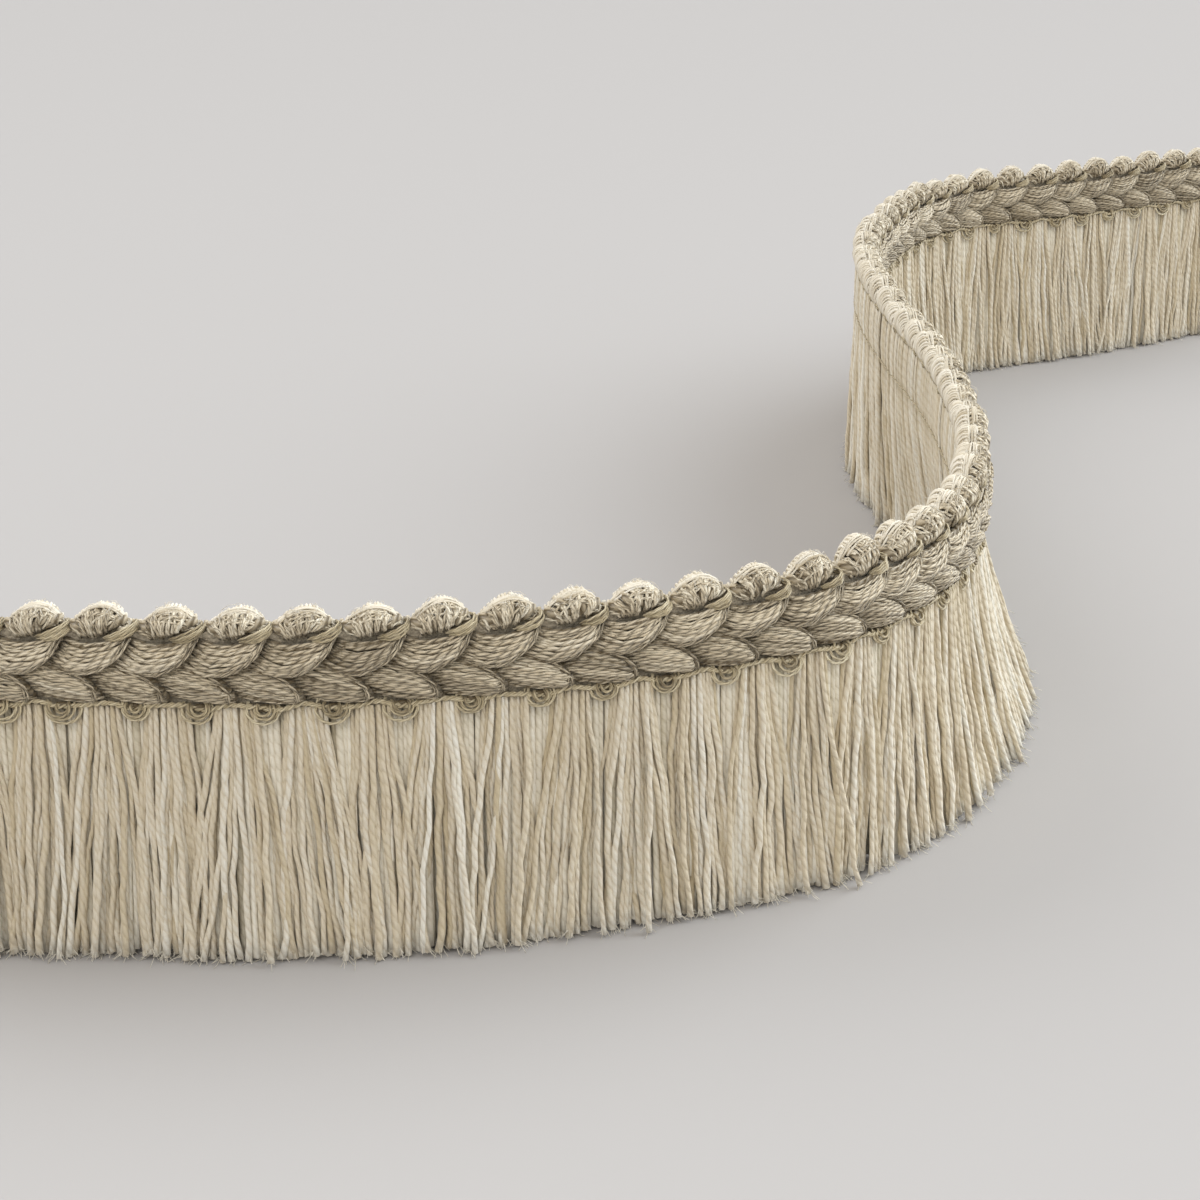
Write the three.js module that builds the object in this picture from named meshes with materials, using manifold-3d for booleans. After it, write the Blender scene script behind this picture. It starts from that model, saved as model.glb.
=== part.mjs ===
// A cut length of brush fringe that stands on its cut ends in an S curve, heading uppermost.
// Millimetres, +Z up. The front of the braid is on the right of someone who walks along the route.
import * as THREE from "three";
import { mergeVertices } from "three/addons/utils/BufferGeometryUtils.js";
import Module from "manifold-3d";

const wasm = await Module();
wasm.setup();

// Driving dimensions
const trimHeight = 38; // cut ends of the fringe to the tops of the knobs
const pitch = 6.57; // one knob, one pair of leaves and one picot
const sectionCount = 12;
const pitchesPerSection = 5;
const strandsPerPitch = 4;
const columnsPerPitch = 4;
const gap = 0.3; // between neighbouring pieces

const headingFoot = 26.5; // height of the heading's lower edge
const tapeHalf = 0.9; // half the thickness of the woven ground
const stripTop = headingFoot - gap;
const stripFoot = 24.4;
const stripHalf = 1.25;
const picotTop = headingFoot - gap;
const picotBack = stripHalf + gap + 0.05;
const picotFront = picotBack + 0.75;

// The route seen from above, and how far the cut ends stand away from it: out is towards the front.
const route = [
  { x: -102.0, y: -126.5, out: 1.0 },
  { x: -76.0, y: -127.8, out: 1.0 },
  { x: -54.0, y: -128.4, out: 1.5 },
  { x: -34.0, y: -125.7, out: 1.0 },
  { x: -16.0, y: -120.2, out: 0.5 },
  { x: 0.0, y: -112.2, out: 0.8 },
  { x: 11.5, y: -98.6, out: 2.5 },
  { x: 18.0, y: -82.0, out: 5.0 },
  { x: 21.0, y: -64.0, out: 7.0 },
  { x: 21.8, y: -44.0, out: 7.5 },
  { x: 21.3, y: -24.0, out: 6.5 },
  { x: 19.3, y: -2.0, out: 3.5 },
  { x: 18.0, y: 20.0, out: 1.0 },
  { x: 19.0, y: 42.0, out: 0.0 },
  { x: 23.2, y: 62.0, out: 0.5 },
  { x: 31.5, y: 84.0, out: 1.5 },
  { x: 43.5, y: 99.0, out: 2.0 },
  { x: 60.0, y: 107.2, out: 1.5 },
  { x: 77.0, y: 116.9, out: 1.0 },
  { x: 93.0, y: 126.5, out: 0.5 },
  { x: 107.0, y: 135.0, out: 0.5 },
];
const line = new THREE.CatmullRomCurve3(
  route.map((point) => new THREE.Vector3(point.x, point.y, 0)),
  false,
  "catmullrom",
  0.5,
);
line.arcLengthDivisions = 2000;
const trimLength = sectionCount * pitchesPerSection * pitch;
const share = (along) => THREE.MathUtils.clamp(along / line.getLength(), 0, 1);

// A point at a length along the route, a distance out to the front and a height. Past either end it goes straight on.
function place(along, out, height) {
  const u = share(along);
  const onLine = line.getPointAt(u);
  const forward = line.getTangentAt(u);
  const past = along - u * line.getLength();
  return new THREE.Vector3(
    onLine.x + forward.x * past + forward.y * out,
    onLine.y + forward.y * past - forward.x * out,
    height,
  );
}

// How far the cut ends stand out at a length along the route.
function footOut(along) {
  const row = line.getUtoTmapping(share(along)) * (route.length - 1);
  const before = Math.min(Math.floor(row), route.length - 2);
  return THREE.MathUtils.lerp(route[before].out, route[before + 1].out, row - before);
}

// A closed skin over rings of the same number of points, with a fan over each end.
function skinOver(rings) {
  const around = rings[0].length;
  const position = rings.flat().flatMap((point) => point.toArray());
  const index = [];
  for (let ring = 0; ring + 1 < rings.length; ring++) {
    for (let side = 0; side < around; side++) {
      const here = ring * around + side;
      const beside = ring * around + ((side + 1) % around);
      index.push(here, here + around, beside, beside, here + around, beside + around);
    }
  }
  const last = (rings.length - 1) * around;
  for (let side = 1; side + 1 < around; side++) {
    index.push(0, side, side + 1);
    index.push(last, last + side + 1, last + side);
  }
  const skin = new THREE.BufferGeometry();
  skin.setAttribute("position", new THREE.Float32BufferAttribute(position, 3));
  skin.setIndex(index);
  return skin;
}

// Joining and cutting
function solidFrom(geometry) {
  const bare = geometry.clone();
  bare.deleteAttribute("normal");
  bare.deleteAttribute("uv");
  const merged = mergeVertices(bare, 1e-4);
  return new wasm.Manifold(
    new wasm.Mesh({
      numProp: 3,
      vertProperties: new Float32Array(merged.attributes.position.array),
      triVerts: new Uint32Array(merged.index.array),
    }),
  );
}

function geometryFrom(solid) {
  const mesh = solid.getMesh();
  const geometry = new THREE.BufferGeometry();
  geometry.setAttribute("position", new THREE.Float32BufferAttribute(mesh.vertProperties, 3));
  geometry.setIndex(new THREE.Uint32BufferAttribute(mesh.triVerts, 1));
  return geometry;
}

// Heading: rows up the front, over the knobs and down the back. Shift, in pitches, slants a row's leaves along
// the band; valley and crown are the distance out between two bundles and on the middle of one.
const headingRows = [
  { height: headingFoot, shift: -0.4, valley: 0.9, crown: 1.45 },
  { height: 28.6, shift: -0.6, valley: 1.0, crown: 2.1 },
  { height: 30.4, shift: -0.78, valley: 0.9, crown: 1.2 },
  { height: 32.3, shift: -0.4, valley: 1.0, crown: 2.1 },
  { height: 33.8, shift: -0.03, valley: 0.9, crown: 1.7 },
  { height: 34.2, shift: 0, valley: 0.6, crown: 0.9 },
  { height: 36.1, shift: 0, valley: 0.7, crown: 2.2, drop: 1.1 },
  { height: trimHeight, shift: 0, valley: 0, crown: 0.2, drop: 2.3 },
  { height: 36.1, shift: 0, valley: -0.7, crown: -1.7, drop: 1.1 },
  { height: 34.2, shift: 0, valley: -tapeHalf, crown: -tapeHalf },
  { height: headingFoot, shift: 0, valley: -tapeHalf, crown: -tapeHalf },
];
const leafRise = [0, 0.85, 1, 0.7]; // share of the rise at each column of a pitch, from the valley on
const trimBlock = 60; // side of the blocks that square off the ends

// A block that lies beyond one end of the trim, its face square to the route.
function beyondEnd(along, direction) {
  const block = new THREE.BoxGeometry(trimBlock, trimBlock, 3 * trimHeight);
  const forward = line.getTangentAt(share(along));
  block.rotateZ(Math.atan2(forward.y, forward.x));
  const centre = place(along + (direction * trimBlock) / 2, 0, trimHeight / 2);
  block.translate(centre.x, centre.y, centre.z);
  return solidFrom(block);
}

function headingGeometry() {
  const rings = [];
  const firstColumn = -columnsPerPitch;
  const lastColumn = (sectionCount * pitchesPerSection + 2) * columnsPerPitch;
  for (let column = firstColumn; column <= lastColumn; column++) {
    const rise = leafRise[(column + columnsPerPitch) % columnsPerPitch];
    rings.push(
      headingRows.map((row) =>
        place(
          (column / columnsPerPitch + row.shift) * pitch,
          THREE.MathUtils.lerp(row.valley, row.crown, rise),
          row.height - (row.drop ?? 0) * (1 - rise),
        ),
      ),
    );
  }
  const whole = solidFrom(skinOver(rings));
  return geometryFrom(whole.subtract(beyondEnd(0, -1)).subtract(beyondEnd(trimLength, 1)));
}

// Picot edging: a thin cord whose lower edge drops in one loop for each pitch.
const picotDrop = [0.45, 1.15, 1.35, 1.15]; // depth of the edge at each column of a pitch
const picotPhase = 0.14; // a loop hangs a little past each notch

function picotGeometry() {
  const rings = [];
  const columnTotal = sectionCount * pitchesPerSection * columnsPerPitch;
  for (let column = 0; column <= columnTotal; column++) {
    const along = (column / columnTotal) * (trimLength - 2 * gap) + gap;
    const depth = picotDrop[(column + 2) % columnsPerPitch];
    const slid = along + picotPhase * pitch * (column > 0 && column < columnTotal ? 1 : 0);
    rings.push([
      place(slid, picotBack, picotTop),
      place(slid, (picotBack + picotFront) / 2, picotTop - depth),
      place(slid, picotFront, picotTop),
    ]);
  }
  return skinOver(rings);
}

// Skirt: strands of three sides that face front and back in turn, so that they nest, hung from a narrow strip.
const strandShapes = [
  { width: 2.2, depth: 2.3, footDepth: 3.9 },
  { width: 2.3, depth: 2.2, footDepth: 4.3 },
  { width: 2.1, depth: 2.3, footDepth: 3.6 },
  { width: 2.3, depth: 2.2, footDepth: 4.0 },
  { width: 2.2, depth: 2.2, footDepth: 4.5 },
];
const strandLevels = [
  { height: 25.2, width: 0.5, flare: 0, spread: 0 },
  { height: 18, width: 1, flare: 0.2, spread: 0.35 },
  { height: 0, width: 1.1, flare: 1, spread: 1 },
];

// One strand: its rings run from the root down to a level foot.
function strandGeometry(number) {
  const shape = strandShapes[number % strandShapes.length];
  const along = ((number + 0.5) / strandsPerPitch) * pitch;
  const facing = number % 2 ? 1 : -1;
  const rings = strandLevels.map((level) => {
    const middle = footOut(along) * level.flare;
    const half = THREE.MathUtils.lerp(shape.depth, shape.footDepth, level.spread) / 2;
    const side = (shape.width * level.width) / 2;
    const corners = [
      place(along - side, middle + facing * half, level.height),
      place(along + side, middle + facing * half, level.height),
      place(along, middle - facing * half, level.height),
    ];
    return facing > 0 ? corners : corners.reverse();
  });
  return skinOver(rings);
}

function skirtGeometry(section) {
  const start = section * pitchesPerSection * pitch + gap / 2;
  const length = pitchesPerSection * pitch - gap;
  const rings = [];
  for (let step = 0; step <= pitchesPerSection; step++) {
    const along = start + (step / pitchesPerSection) * length;
    rings.push([
      place(along, stripHalf, stripFoot),
      place(along, stripHalf, stripTop),
      place(along, -stripHalf, stripTop),
      place(along, -stripHalf, stripFoot),
    ]);
  }
  let skirt = solidFrom(skinOver(rings));
  const strandTotal = pitchesPerSection * strandsPerPitch;
  for (let strand = 0; strand < strandTotal; strand++) {
    skirt = skirt.add(solidFrom(strandGeometry(section * strandTotal + strand)));
  }
  return geometryFrom(skirt);
}

// Finishes
const floss = () => new THREE.MeshStandardMaterial({ color: 0x968a74, roughness: 0.7, metalness: 0 });
const cordFinish = () => new THREE.MeshStandardMaterial({ color: 0x9c8d64, roughness: 0.6, metalness: 0 });
const cotton = () => new THREE.MeshStandardMaterial({ color: 0xd2c8b0, roughness: 0.9, metalness: 0 });

function named(name, geometry, material) {
  const mesh = new THREE.Mesh(geometry, material);
  mesh.name = name;
  return mesh;
}

const trim = new THREE.Group();
trim.add(named("heading", headingGeometry(), floss()));
trim.add(named("picot_edging", picotGeometry(), cordFinish()));
for (let section = 0; section < sectionCount; section++) {
  const name = "skirt_" + String(section + 1).padStart(2, "0");
  trim.add(named(name, skirtGeometry(section), cotton()));
}

export default trim;
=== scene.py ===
import math

import bpy
import numpy as np
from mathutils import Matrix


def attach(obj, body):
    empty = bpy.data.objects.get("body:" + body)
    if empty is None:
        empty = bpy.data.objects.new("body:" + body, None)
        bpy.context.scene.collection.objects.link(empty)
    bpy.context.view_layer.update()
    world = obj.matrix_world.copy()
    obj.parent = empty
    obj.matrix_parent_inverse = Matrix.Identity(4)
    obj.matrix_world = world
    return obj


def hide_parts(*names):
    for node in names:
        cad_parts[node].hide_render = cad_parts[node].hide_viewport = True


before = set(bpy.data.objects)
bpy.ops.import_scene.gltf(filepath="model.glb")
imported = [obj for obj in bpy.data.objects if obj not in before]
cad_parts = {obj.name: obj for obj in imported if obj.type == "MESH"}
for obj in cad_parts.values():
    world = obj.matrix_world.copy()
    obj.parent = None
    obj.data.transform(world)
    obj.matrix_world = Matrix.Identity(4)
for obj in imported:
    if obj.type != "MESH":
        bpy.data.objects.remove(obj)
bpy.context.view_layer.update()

mm = 0.001

# Sizes of the trim in millimetres, as in the part's source
trim = {
    "pitch": 6.57,          # one knob, one pair of leaves and one picot
    "pitches": 60,
    "sections": 12,
    "headingFoot": 26.5,
}
trimLength = trim["pitch"] * trim["pitches"]

# The route of the heading seen from above, and how far the cut ends stand out to the front
route = [
    {"x": -102.0, "y": -126.5, "out": 1.0},
    {"x": -76.0, "y": -127.8, "out": 1.0},
    {"x": -54.0, "y": -128.4, "out": 1.5},
    {"x": -34.0, "y": -125.7, "out": 1.0},
    {"x": -16.0, "y": -120.2, "out": 0.5},
    {"x": 0.0, "y": -112.2, "out": 0.8},
    {"x": 11.5, "y": -98.6, "out": 2.5},
    {"x": 18.0, "y": -82.0, "out": 5.0},
    {"x": 21.0, "y": -64.0, "out": 7.0},
    {"x": 21.8, "y": -44.0, "out": 7.5},
    {"x": 21.3, "y": -24.0, "out": 6.5},
    {"x": 19.3, "y": -2.0, "out": 3.5},
    {"x": 18.0, "y": 20.0, "out": 1.0},
    {"x": 19.0, "y": 42.0, "out": 0.0},
    {"x": 23.2, "y": 62.0, "out": 0.5},
    {"x": 31.5, "y": 84.0, "out": 1.5},
    {"x": 43.5, "y": 99.0, "out": 2.0},
    {"x": 60.0, "y": 107.2, "out": 1.5},
    {"x": 77.0, "y": 116.9, "out": 1.0},
    {"x": 93.0, "y": 126.5, "out": 0.5},
    {"x": 107.0, "y": 135.0, "out": 0.5},
]


def sampleRoute(steps=2000):
    rows = np.array([[row["x"], row["y"], row["out"]] for row in route])
    spread = np.vstack([2 * rows[0] - rows[1], rows, 2 * rows[-1] - rows[-2]])
    turn = np.linspace(0, len(rows) - 1, steps + 1)
    first = np.minimum(turn.astype(int), len(rows) - 2)
    w = (turn - first)[:, None]
    before, here, after, beyond = (spread[first + k] for k in range(4))
    curve = (2 * w**3 - 3 * w**2 + 1) * here + (w**3 - 2 * w**2 + w) * (after - before) / 2
    curve = curve + (3 * w**2 - 2 * w**3) * after + (w**3 - w**2) * (beyond - here) / 2
    out = rows[first, 2] * (1 - w[:, 0]) + rows[first + 1, 2] * w[:, 0]
    step = np.hypot(np.diff(curve[:, 0]), np.diff(curve[:, 1]))
    along = np.concatenate([[0.0], np.cumsum(step)])
    forward = np.gradient(curve[:, :2], along, axis=0)
    forward = forward / np.linalg.norm(forward, axis=1, keepdims=True)
    return {"along": along, "x": curve[:, 0], "y": curve[:, 1], "out": out, "forward": forward}


routeSamples = sampleRoute()


# Points at lengths along the route, distances out to the front and heights, all in millimetres
def place(along, out, height):
    along, out, height = np.broadcast_arrays(along, out, height)
    known = routeSamples["along"]
    x = np.interp(along, known, routeSamples["x"])
    y = np.interp(along, known, routeSamples["y"])
    forwardX = np.interp(along, known, routeSamples["forward"][:, 0])
    forwardY = np.interp(along, known, routeSamples["forward"][:, 1])
    past = along - np.clip(along, known[0], known[-1])
    return np.stack([
        x + forwardX * past + forwardY * out,
        y + forwardY * past - forwardX * out,
        height,
    ], axis=-1) * mm


def footOut(along):
    return np.interp(along, routeSamples["along"], routeSamples["out"])


def smoothStep(value):
    value = np.clip(value, 0, 1)
    return value * value * (3 - 2 * value)


def unit(vectors):
    return vectors / np.maximum(np.linalg.norm(vectors, axis=-1, keepdims=True), 1e-12)


# Shader helpers
def addNode(tree, kind, **settings):
    node = tree.nodes.new(kind)
    for key, value in settings.items():
        setattr(node, key, value)
    return node


def mathNode(tree, operation, first, second=None):
    node = addNode(tree, "ShaderNodeMath", operation=operation)
    for socket, value in zip(node.inputs, (first, second)):
        if value is None:
            continue
        if isinstance(value, (int, float)):
            socket.default_value = value
        else:
            tree.links.new(value, socket)
    return node.outputs[0]


def setInputs(node, values):
    for label, value in values.items():
        node.inputs[label].default_value = value


def newMaterial(name):
    material = bpy.data.materials.new(name)
    material.use_nodes = True
    return material, material.node_tree, material.node_tree.nodes["Principled BSDF"]


def addBump(tree, surface, strength, height):
    bump = addNode(tree, "ShaderNodeBump")
    setInputs(bump, {"Strength": strength, "Distance": threadFinish["bumpDepth"] * mm})
    tree.links.new(height, bump.inputs["Height"])
    tree.links.new(bump.outputs["Normal"], surface.inputs["Normal"])


def newGroup(name, inputs, outputs):
    group = bpy.data.node_groups.new(name, "ShaderNodeTree")
    for label, kind, value in inputs:
        socket = group.interface.new_socket(label, in_out="INPUT", socket_type=kind)
        if value is not None:
            socket.default_value = value
    for label, kind in outputs:
        group.interface.new_socket(label, in_out="OUTPUT", socket_type=kind)
    return group, addNode(group, "NodeGroupInput"), addNode(group, "NodeGroupOutput")


# Ply twist: slanting ridges wound round a thread, from its own UV map (turns round, millimetres along)
def makePlyGroup():
    group, given, made = newGroup(
        "plyTwist",
        [("Thread UV", "NodeSocketVector", None), ("Plies", "NodeSocketFloat", 2.0),
         ("Turn Length", "NodeSocketFloat", 2.0)],
        [("Ridge", "NodeSocketFloat"), ("Groove", "NodeSocketFloat")],
    )
    split = addNode(group, "ShaderNodeSeparateXYZ")
    group.links.new(given.outputs["Thread UV"], split.inputs[0])
    around = mathNode(group, "MULTIPLY", split.outputs[0], given.outputs["Plies"])
    length = mathNode(group, "DIVIDE", split.outputs[1], given.outputs["Turn Length"])
    phase = mathNode(group, "MULTIPLY", mathNode(group, "ADD", around, length), math.pi)
    ridge = mathNode(group, "ABSOLUTE", mathNode(group, "SINE", phase))
    groove = mathNode(group, "POWER", mathNode(group, "SUBTRACT", 1.0, ridge), 2.0)
    group.links.new(ridge, made.inputs["Ridge"])
    group.links.new(groove, made.inputs["Groove"])
    return group


# Fibre streaks: fine filaments that run along a thread, different on each one
def makeStreakGroup():
    group, given, made = newGroup(
        "fibreStreak",
        [("Thread UV", "NodeSocketVector", None), ("Tone", "NodeSocketFloat", 0.5),
         ("Across", "NodeSocketFloat", 9.0), ("Along", "NodeSocketFloat", 0.5),
         ("Slant", "NodeSocketFloat", 0.2)],
        [("Streak", "NodeSocketFloat"), ("Fleck", "NodeSocketFloat")],
    )
    split = addNode(group, "ShaderNodeSeparateXYZ")
    group.links.new(given.outputs["Thread UV"], split.inputs[0])
    lean = mathNode(group, "MULTIPLY", split.outputs[1], given.outputs["Slant"])
    slanted = mathNode(group, "ADD", split.outputs[0], lean)
    across = mathNode(group, "MULTIPLY", slanted, given.outputs["Across"])
    along = mathNode(group, "MULTIPLY", split.outputs[1], given.outputs["Along"])
    joined = addNode(group, "ShaderNodeCombineXYZ")
    group.links.new(across, joined.inputs[0])
    group.links.new(along, joined.inputs[1])
    shift = mathNode(group, "MULTIPLY", given.outputs["Tone"], 61.0)
    noise = addNode(group, "ShaderNodeTexNoise", noise_dimensions="4D")
    setInputs(noise, {"Scale": 1.0, "Detail": 2.0})
    group.links.new(joined.outputs[0], noise.inputs["Vector"])
    group.links.new(shift, noise.inputs["W"])
    fleck = addNode(group, "ShaderNodeTexNoise", noise_dimensions="4D")
    setInputs(fleck, {"Scale": 0.35, "Detail": 1.0})
    group.links.new(given.outputs["Thread UV"], fleck.inputs["Vector"])
    group.links.new(shift, fleck.inputs["W"])
    group.links.new(noise.outputs["Fac"], made.inputs["Streak"])
    group.links.new(fleck.outputs["Fac"], made.inputs["Fleck"])
    return group


plyGroup = makePlyGroup()
streakGroup = makeStreakGroup()


# What all threads share, whatever their look
threadFinish = {
    "plies": 2.0, "bumpDepth": 0.15, "roughSpread": 0.2, "sheenRoughness": 0.5,
    "sheenTint": (1.0, 0.93, 0.80, 1),
}


def threadMaterial(name, look):
    material, tree, surface = newMaterial(name)
    uv = addNode(tree, "ShaderNodeUVMap", uv_map="threadUv")
    tone = addNode(tree, "ShaderNodeAttribute", attribute_name="tone")
    streak = addNode(tree, "ShaderNodeGroup", node_tree=streakGroup)
    setInputs(streak, {
        "Across": look["streakAcross"], "Along": look["streakAlong"], "Slant": look["streakSlant"],
    })
    tree.links.new(uv.outputs["UV"], streak.inputs["Thread UV"])
    tree.links.new(tone.outputs["Fac"], streak.inputs["Tone"])
    ply = addNode(tree, "ShaderNodeGroup", node_tree=plyGroup)
    setInputs(ply, {"Plies": threadFinish["plies"], "Turn Length": look["turnLength"]})
    tree.links.new(uv.outputs["UV"], ply.inputs["Thread UV"])

    streakMiddle = mathNode(tree, "SUBTRACT", streak.outputs["Streak"], 0.5)
    spread = mathNode(tree, "MULTIPLY", streakMiddle, look["streakTone"])
    fleckMiddle = mathNode(tree, "SUBTRACT", streak.outputs["Fleck"], 0.5)
    fleck = mathNode(tree, "MULTIPLY", fleckMiddle, look["fleckTone"])
    # painted shade: the grooves between plies are darkened in colour
    paintedGrooveShade = mathNode(tree, "MULTIPLY", ply.outputs["Groove"], -look["paintedGrooveShade"])
    value = mathNode(tree, "ADD", tone.outputs["Fac"], spread)
    value = mathNode(tree, "ADD", mathNode(tree, "ADD", value, fleck), paintedGrooveShade)
    ramp = addNode(tree, "ShaderNodeValToRGB")
    ramp.color_ramp.elements[0].color = look["dark"] + (1,)
    ramp.color_ramp.elements[1].color = look["light"] + (1,)
    middle = ramp.color_ramp.elements.new(0.5)
    middle.color = look["middle"] + (1,)
    tree.links.new(value, ramp.inputs["Fac"])
    tree.links.new(ramp.outputs["Color"], surface.inputs["Base Color"])

    height = mathNode(tree, "MULTIPLY", streak.outputs["Streak"], look["streakHeight"])
    twist = mathNode(tree, "MULTIPLY", ply.outputs["Ridge"], look["plyHeight"])
    addBump(tree, surface, look["bump"], mathNode(tree, "ADD", height, twist))
    rough = mathNode(tree, "MULTIPLY", streak.outputs["Streak"], threadFinish["roughSpread"])
    smoothest = look["roughness"] - threadFinish["roughSpread"] / 2
    tree.links.new(mathNode(tree, "ADD", rough, smoothest), surface.inputs["Roughness"])
    setInputs(surface, {
        "Sheen Weight": look["sheen"], "Sheen Roughness": threadFinish["sheenRoughness"],
        "Sheen Tint": threadFinish["sheenTint"], "Specular IOR Level": look["specular"],
    })
    return material


cottonLook = {
    "dark": (0.57, 0.48, 0.325), "middle": (0.675, 0.595, 0.455), "light": (0.80, 0.765, 0.67),
    "streakAcross": 8.0, "streakAlong": 0.9, "streakSlant": 0.6, "streakTone": 0.6, "fleckTone": 0.4,
    "turnLength": 1.3, "paintedGrooveShade": 0.32, "plyHeight": 0.95, "streakHeight": 0.35,
    "bump": 0.65, "roughness": 0.85, "sheen": 0.4, "specular": 0.2,
}
# painted light: a lighter copy of the cotton for the yarns inside the skirt and the frays, standing in for
# light that scatters through the cotton
innerPaintedLightLook = {
    "dark": (0.54, 0.48, 0.35), "middle": (0.76, 0.70, 0.57), "light": (0.90, 0.86, 0.75),
    "streakAcross": 8.0, "streakAlong": 0.9, "streakSlant": 0.6, "streakTone": 0.5, "fleckTone": 0.4,
    "turnLength": 1.4, "paintedGrooveShade": 0.3, "plyHeight": 0.8, "streakHeight": 0.3,
    "bump": 0.5, "roughness": 0.85, "sheen": 0.4, "specular": 0.2,
}
haloLook = {
    "dark": (0.50, 0.42, 0.29), "middle": (0.74, 0.675, 0.55), "light": (0.86, 0.815, 0.72),
    "streakAcross": 4.0, "streakAlong": 0.7, "streakSlant": 0.1, "streakTone": 0.6, "fleckTone": 0.5,
    "turnLength": 6.0, "paintedGrooveShade": 0.1, "plyHeight": 0.2, "streakHeight": 0.4,
    "bump": 0.5, "roughness": 0.8, "sheen": 0.2, "specular": 0.2,
}
flossLook = {
    "dark": (0.15, 0.11, 0.058), "middle": (0.66, 0.56, 0.395), "light": (0.90, 0.82, 0.65),
    "streakAcross": 5.0, "streakAlong": 0.9, "streakSlant": 0.5, "streakTone": 0.6, "fleckTone": 0.35,
    "turnLength": 1.15, "paintedGrooveShade": 0.45, "plyHeight": 1.2, "streakHeight": 0.6,
    "bump": 1.0, "roughness": 0.38, "sheen": 0.25, "specular": 0.5,
}
knobLook = dict(flossLook, turnLength=0.9, paintedGrooveShade=0.38, streakTone=0.7)
goldLook = {
    "dark": (0.20, 0.15, 0.08), "middle": (0.52, 0.43, 0.265), "light": (0.77, 0.68, 0.48),
    "streakAcross": 3.0, "streakAlong": 0.5, "streakSlant": 0.3, "streakTone": 0.5, "fleckTone": 0.3,
    "turnLength": 1.1, "paintedGrooveShade": 0.35, "plyHeight": 1.0, "streakHeight": 0.4,
    "bump": 0.8, "roughness": 0.5, "sheen": 0.2, "specular": 0.45,
}
cottonYarn = threadMaterial("cottonYarn", cottonLook)
paintedLightYarn = threadMaterial("paintedLightYarn", innerPaintedLightLook)
haloYarn = threadMaterial("haloYarn", haloLook)
flossThread = threadMaterial("flossThread", flossLook)
knobFloss = threadMaterial("knobFloss", knobLook)
goldCord = threadMaterial("goldCord", goldLook)


# Tape: a plain weave of fine taupe threads, from the sheet's own UV map in millimetres
def makeTapeMaterial():
    look = {"warp": (0.44, 0.38, 0.28, 1), "weft": (0.60, 0.52, 0.39, 1), "threadsPerMm": 2.2,
            "bump": 0.8, "roughness": 0.85, "sheen": 0.2}
    material, tree, surface = newMaterial("tapeWeave")
    uv = addNode(tree, "ShaderNodeUVMap", uv_map="clothUv")
    split = addNode(tree, "ShaderNodeSeparateXYZ")
    tree.links.new(uv.outputs["UV"], split.inputs[0])
    perMm = math.pi * look["threadsPerMm"]
    warp = mathNode(tree, "SINE", mathNode(tree, "MULTIPLY", split.outputs[0], perMm))
    weft = mathNode(tree, "SINE", mathNode(tree, "MULTIPLY", split.outputs[1], perMm))
    over = mathNode(tree, "MULTIPLY", warp, weft)
    blend = mathNode(tree, "ADD", mathNode(tree, "MULTIPLY", over, 0.5), 0.5)
    colours = addNode(tree, "ShaderNodeMix", data_type="RGBA")
    colours.inputs["A"].default_value = look["warp"]
    colours.inputs["B"].default_value = look["weft"]
    tree.links.new(blend, colours.inputs["Factor"])
    tree.links.new(colours.outputs["Result"], surface.inputs["Base Color"])
    addBump(tree, surface, look["bump"], mathNode(tree, "ABSOLUTE", over))
    setInputs(surface, {"Roughness": look["roughness"], "Sheen Weight": look["sheen"]})
    return material


tapeWeave = makeTapeMaterial()
print("materials made")


# Threads: many closed tubes joined in one mesh, from arrays of the points that they follow. The form has the
# radius, unless each thread has its own, and the sides. A nearly straight thread has no plane of its own, so
# its first side is turned to a fixed direction.
threadForm = {"leastTurn": 0.02, "straightSide": [0.31, 0.52, 0.08]}


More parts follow.
